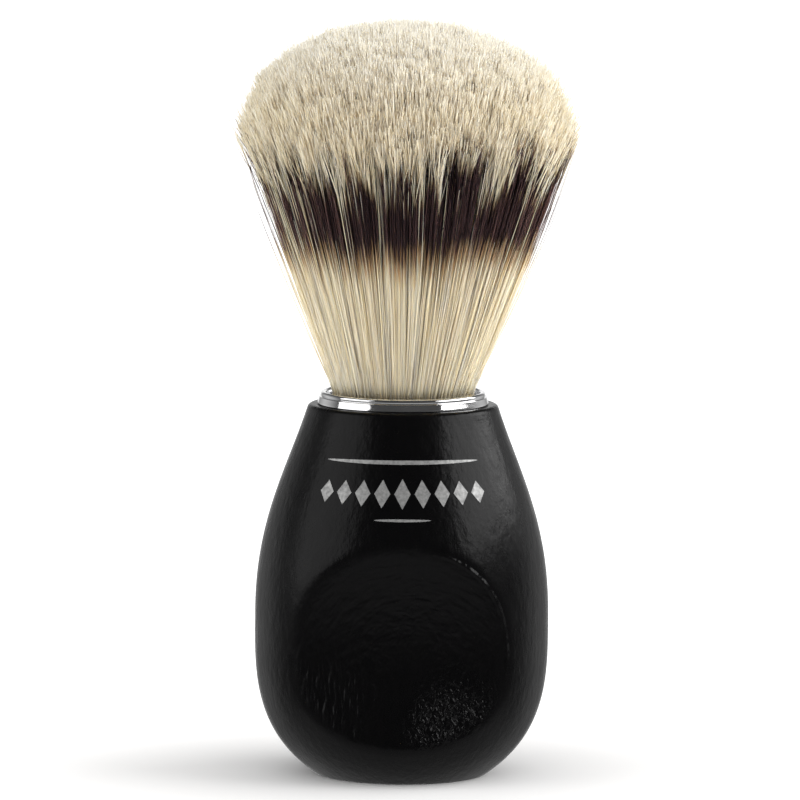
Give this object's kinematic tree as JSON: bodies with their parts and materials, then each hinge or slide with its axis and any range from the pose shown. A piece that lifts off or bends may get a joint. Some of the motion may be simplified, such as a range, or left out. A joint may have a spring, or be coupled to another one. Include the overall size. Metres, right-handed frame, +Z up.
{
  "type": "shaving brush",
  "caption": "Shaving brush with an egg-shaped black wooden handle, a front thumb dish, a chrome ferrule ring and a domed knot of cream and dark-banded bristles.",
  "frame": {"origin": "centre of the flat foot, on the surface the brush stands on", "axes": "+Z up the brush from foot to bristle tips, -Y out of the thumb dish, +X to the right when looking at the dish"},
  "size_m": [0.0496, 0.0496, 0.1131],
  "materials": {
    "black_lacquered_wood": "satin-gloss black lacquer over fine-grained turned beech",
    "chrome_ring": "polished chrome plate",
    "epoxy": "cured epoxy, slightly cloudy",
    "resin": "cast amber resin",
    "twine": "twisted cotton",
    "bristle": "natural bristle, cream with a dark brown band",
    "silver_print": "thin silver print under the lacquer"
  },
  "bodies": {
    "handle": {"handle": "black_lacquered_wood", "ferrule_ring": "chrome_ring", "glue_bed": "epoxy", "resin_plug": "resin", "binding_twine": "twine", "bristle_roots": "bristle"},
    "knot": {"bristle_bundle": "bristle"}
  },
  "joints": [
    {"name": "knot_bend", "type": "hinge", "parent": "handle", "child": "knot", "pos_m": [0, 0, 0.0577], "axis": [0, 1, 0], "range_deg": [-20, 20], "stiffness_Nm_per_rad": 0.35}
  ]
}
